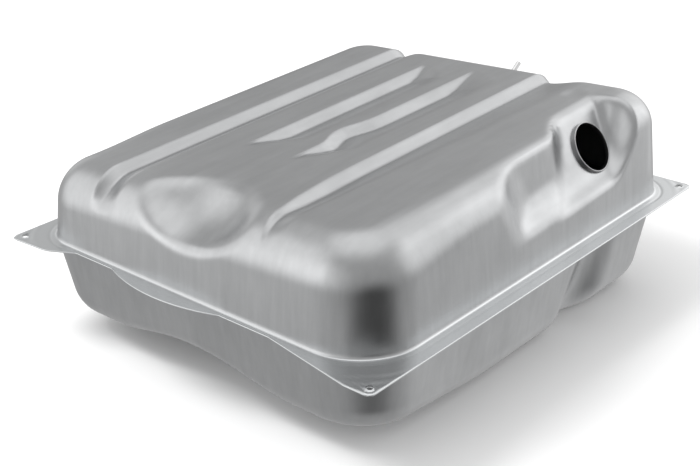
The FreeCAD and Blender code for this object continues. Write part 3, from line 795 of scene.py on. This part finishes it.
# %%
def punch(points, faces, middle, axis, radius, margin, sides=40):
    """The mesh with a round hole through its sheet."""
    axis = np.asarray(axis, float) / np.linalg.norm(axis)
    helper = np.array([0.0, 0.0, 1.0]) if abs(axis[2]) < 0.9 else np.array([1.0, 0.0, 0.0])
    u = np.cross(helper, axis)
    u /= np.linalg.norm(u)
    v = np.cross(axis, u)
    offset = points - middle
    flat = np.stack([offset @ u, offset @ v], 1)
    height = offset @ axis
    near = (np.hypot(flat[:, 0], flat[:, 1]) < radius + margin) & (np.abs(height) < 6.0)
    cut = [face for face in faces if any(near[index] for index in face)]
    kept = [face for face in faces if not any(near[index] for index in face)]
    edges = {}
    for face in cut:
        for a, b in zip(face, face[1:] + face[:1]):
            edges[(a, b)] = True
    loop = {a: b for a, b in edges if (b, a) not in edges}
    order = [next(iter(loop))]
    while loop[order[-1]] != order[0]:
        order.append(loop[order[-1]])
    angles = [2 * math.pi * index / sides for index in range(sides)]
    circle = [(radius * math.cos(angle), radius * math.sin(angle)) for angle in angles]
    rim = [tuple(flat[index]) for index in order]
    count = len(order)
    lines = [(index, (index + 1) % count) for index in range(count)]
    lines += [(count + index, count + (index + 1) % sides) for index in range(sides)]
    made = delaunay_2d_cdt([Vector(place) for place in rim + circle], lines, [], 0, 1e-6)
    middle_height = np.mean(height[order])
    top = len(points)
    rings = [middle + u * a + v * b + axis * middle_height for a, b in circle]
    rings += [place - axis * SHEET for place in rings]
    points = np.concatenate([points, rings])
    index_of = list(order) + [top + index for index in range(sides)]
    places = [tuple(place) for place in made[0]]
    source = [origins[0] if origins else None for origins in made[3]]
    for face in made[2]:
        centre = np.mean([places[index] for index in face], 0)
        outside = float(outline_gap(np.array([centre[0]]), np.array([centre[1]]), rim)[0]) > 0
        if math.hypot(*centre) < radius * 0.985 or outside:
            continue
        kept.append(tuple(index_of[source[index]] for index in face))
    for index in range(sides):
        after = (index + 1) % sides
        kept.append((top + after, top + index, top + sides + index, top + sides + after))
    return points, kept


def open_round(points, faces, gap, middle, axis, radius):
    """The mesh with a round opening whose edge another piece hides."""
    axis = np.asarray(axis, float)
    offset = points - middle
    height = offset @ axis
    radial = offset - height[:, None] * axis
    far = np.linalg.norm(radial, axis=1)
    near = (far < radius) & (np.abs(height) < 25.0)
    kept = [face for face in faces if not all(near[index] for index in face)]
    used = np.zeros(len(points), bool)
    used[[index for face in kept for index in face]] = True
    moved = np.where(near & used)[0]
    points = points.copy()
    points[moved] = middle + radial[moved] * (radius / far[moved])[:, None] + axis * height[moved][:, None]
    x, y, z = (points[moved, index].copy() for index in range(3))
    way = tuple(np.full(len(moved), -value) for value in axis)
    points[moved] = np.stack(slide(gap, x, y, z, way, 20), 1)
    return points, kept


TAB_HOLES = [(x, y) for x in (15.0, 765.0) for y in (13.0, 657.0)]
TAB_HOLE_RADIUS, TAB_HOLE_MARGIN, TAB_HOLE_SIDES = 4.0, 1.5, 28


def punch_tabs(points, faces, side):
    """The mesh with a bolt hole in each corner tab."""
    for hole_x, hole_y in TAB_HOLES:
        middle = np.array([hole_x, hole_y, side * SHEET])
        points, faces = punch(
            points, faces, middle, (0, 0, side), TAB_HOLE_RADIUS, TAB_HOLE_MARGIN, TAB_HOLE_SIDES)
    return points, faces


# %% [markdown]
# ## The two pressings
#
# The upper one has the finer grid, because the pocket, the scoop and the channels need it. Each gets its
# round opening, under the collar's wall or the sender's ring, and then the bolt holes of its tabs.

# %%
PAD_OPENING, SENDER_OPENING = 36.7, 29.0
SENDER_HEIGHT, SENDER_LEAN = -56.0, math.radians(LOWER["draft"])
SENDER = np.array([FEET[1] + SENDER_HEIGHT * math.tan(SENDER_LEAN), FLANGE[1] / 2, SENDER_HEIGHT])
SENDER_AXIS = (math.cos(SENDER_LEAN), 0.0, -math.sin(SENDER_LEAN))

points, faces = wrap(
    UPPER, upper_form, upper_gap, roof_height, step_x=(6.0, 3.0, 6.0, 2.5), step_y=3.2, fan=36,
    strip_rows=5, arc_rows=26, wall_rows=22, tab_rows=11)
points, faces = open_round(points, faces, upper_gap, PAD_POINT, COLLAR_AXIS, PAD_OPENING)
points, faces = punch_tabs(points, faces, 1.0)
mesh_piece("upper_pressing", to_frame(points), faces, sheet_steel, "coated_sheet", "upper_shell")

points, faces = wrap(
    LOWER, lower_form, lower_gap, floor_height, step_x=6.5, step_y=4.5, fan=30,
    strip_rows=6, arc_rows=20, wall_rows=24, tab_rows=10)
points, faces = open_round(points, faces, lower_gap, SENDER, SENDER_AXIS, SENDER_OPENING)
points, faces = punch_tabs(points, faces, -1.0)
mesh_piece("lower_pressing", to_frame(points), faces, sheet_steel, "coated_sheet", "lower_shell")

# %% [markdown]
# ## The filler collar
#
# A short steel tube is pushed through the pad and brazed behind it, and its mouth is rolled to a small bead
# that holds the hose. A closed profile turned round the axis gives it, with more points where it curves.

# %%
def lathe(profile, place, axis, sides=96):
    """A closed profile of (radius, height) turned about an axis, in millimetres."""
    turn = Vector((0.0, 0.0, 1.0)).rotation_difference(Vector(axis))
    points, faces = [], []
    for index in range(sides):
        angle = 2 * math.pi * index / sides
        for radius, height in profile:
            around = turn @ Vector((radius * math.cos(angle), radius * math.sin(angle), height))
            points.append((place[0] + around.x, place[1] + around.y, place[2] + around.z))
    count = len(profile)
    for index in range(sides):
        after = (index + 1) % sides
        for step in range(count):
            follow = (step + 1) % count
            here, there = index * count, after * count
            faces.append((here + step, there + step, there + follow, here + follow))
    return points, faces


def bead(middle_radius, middle_height, radius, first, last, count):
    """Part of a round bead in a profile, between two angles."""
    angles = [math.radians(first + (last - first) * index / count) for index in range(count + 1)]
    return [(middle_radius + radius * math.cos(a), middle_height + radius * math.sin(a)) for a in angles]


COLLAR_BORE, COLLAR_FOOT = 35.9, 42.5
collar_profile = [(COLLAR_BORE, -2.6), (COLLAR_FOOT, -2.6), (COLLAR_FOOT, -1.0)]
collar_profile += [(COLLAR_RADIUS, height) for height in (-1.0, 0.0, 1.2, 2.4)]
collar_profile += bead(36.9, 3.9, 1.1, -60, 90, 8)
collar_profile += [(36.4, 4.9), (36.0, 4.6), (COLLAR_BORE, 4.0), (COLLAR_BORE, 1.5)]
points, faces = lathe(collar_profile, PAD_POINT, COLLAR_AXIS)
mesh_piece("collar_tube", to_frame(points), faces, tube_steel, "collar_steel", "filler_collar")

# %% [markdown]
# ## Pieces that keep the CAD's shape
#
# The sender ring, the vent pipe with its boss and the three baffles are already right. They only need their
# own steel.

# %%
for node, material in (
    ("sender_ring", tube_steel),
    ("vent_pipe", bright_steel),
    ("vent_boss", tube_steel),
    ("front_baffle", inner_steel),
    ("middle_baffle", inner_steel),
    ("rear_baffle", inner_steel),
):
    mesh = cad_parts[node].data
    mesh.materials.clear()
    mesh.materials.append(material)
    print(node, "keeps its shape, in", material.name)

# %% [markdown]
# ## Floor, studio and light
#
# The tank is photographed on white. Satin metal shows its surroundings, so the room round it is one even
# level with soft brighter and darker patches, each where a face of the tank looks to. Only reflected rays
# meet that room: what the camera sees directly is plain white. One large soft lamp lights the floor, so
# that the tank has a shadow, and it doesn't show in the metal.

# %%
FLOOR_HALF = 12.0
floor_material = bpy.data.materials.new("white floor")
floor_material.use_nodes = True
floor_shader = floor_material.node_tree.nodes["Principled BSDF"]
floor_shader.inputs["Base Color"].default_value = linear("FAFAFA")
floor_shader.inputs["Roughness"].default_value = 1.0
floor_shader.inputs["Specular IOR Level"].default_value = 0.0
floor_mesh = bpy.data.meshes.new("floor")
floor_corners = [(-FLOOR_HALF, -FLOOR_HALF, 0), (FLOOR_HALF, -FLOOR_HALF, 0),
                 (FLOOR_HALF, FLOOR_HALF, 0), (-FLOOR_HALF, FLOOR_HALF, 0)]
floor_mesh.from_pydata(floor_corners, [], [(0, 1, 2, 3)])
floor_mesh.materials.append(floor_material)
floor = bpy.data.objects.new("floor", floor_mesh)
bpy.context.scene.collection.objects.link(floor)
floor.visible_glossy = False

world = bpy.data.worlds.new("studio")
bpy.context.scene.world = world
world.use_nodes = True
studio = world.node_tree
way = add_node(studio, "ShaderNodeTexCoord").outputs["Generated"]
way = add_node(studio, "ShaderNodeVectorMath", {"operation": "NORMALIZE"}, i0=way).outputs[0]


def patch(total, towards, narrow, wide, value):
    """Adds a soft bright or dark patch of studio wall, centred in one direction, to a light level."""
    facing = Vector(towards).normalized()
    near = add_node(studio, "ShaderNodeVectorMath", {"operation": "DOT_PRODUCT"}, i0=way, i1=tuple(facing))
    level = add_node(
        studio, "ShaderNodeMapRange", {"interpolation_type": "SMOOTHSTEP"}, Value=near.outputs["Value"],
        From_Min=math.cos(math.radians(wide)), From_Max=math.cos(math.radians(narrow)),
        To_Min=0.0, To_Max=value,
    ).outputs[0]
    return add_node(studio, "ShaderNodeMath", {"operation": "ADD"}, i0=total, i1=level).outputs[0]


ROOM_LEVEL, DARKEST = 0.58, 0.03
PATCHES = [
    ((0.920, -0.040, 0.390), 10, 36, 0.85),
    ((0.690, -0.621, 0.375), 8, 32, 0.80),
    ((0.93, -0.33, -0.05), 8, 28, 0.40),
    ((-0.604, 0.720, 0.342), 18, 42, 0.85),
    ((-0.886, 0.413, 0.208), 8, 28, 0.40),
    ((-0.95, 0.05, 0.29), 10, 30, 0.40),
    ((0.10, 0.10, 0.98), 10, 44, 0.80),
    ((0.36, 0.92, 0.16), 6, 20, 0.35),
    ((-0.646, 0.718, -0.259), 8, 26, 0.12),
    ((0.64, -0.36, 0.68), 4, 18, 0.35),
    ((0.750, -0.303, -0.588), 10, 30, 0.20),
    ((-0.450, -0.780, -0.434), 8, 46, -0.62),
    ((0.66, 0.735, -0.14), 4, 26, -0.22),
]
level = add_node(studio, "ShaderNodeValue").outputs[0]
level.default_value = ROOM_LEVEL
for towards, narrow, wide, value in PATCHES:
    level = patch(level, towards, narrow, wide, value)
level = add_node(studio, "ShaderNodeMath", {"operation": "MAXIMUM"}, i0=level, i1=DARKEST).outputs[0]
print("the studio has", len(PATCHES), "patches, on a level of", ROOM_LEVEL)
path = add_node(studio, "ShaderNodeLightPath")
strength = result(add_node(studio, "ShaderNodeMix", {"data_type": "FLOAT"},
                           Factor=path.outputs["Is Glossy Ray"], A=1.0, B=level))
studio.nodes["Background"].inputs["Color"].default_value = linear("FFFFFF")
studio.links.new(strength, studio.nodes["Background"].inputs["Strength"])


def area_light(name, place, aim, size, power):
    """A soft light that faces a point, and leaves the reflections to the studio."""
    data = bpy.data.lights.new(name, "AREA")
    data.shape = "RECTANGLE"
    data.size, data.size_y = size
    data.energy = power
    lamp = bpy.data.objects.new(name, data)
    bpy.context.scene.collection.objects.link(lamp)
    lamp.location = place
    lamp.rotation_euler = (Vector(aim) - Vector(place)).to_track_quat("-Z", "Y").to_euler()
    lamp.visible_glossy = False
    return lamp


area_light("key", place=(-1.4, 1.2, 3.0), aim=(0.0, 0.0, 0.0), size=(1.2, 1.2), power=60.0)

bpy.context.scene.view_settings.view_transform = "Standard"
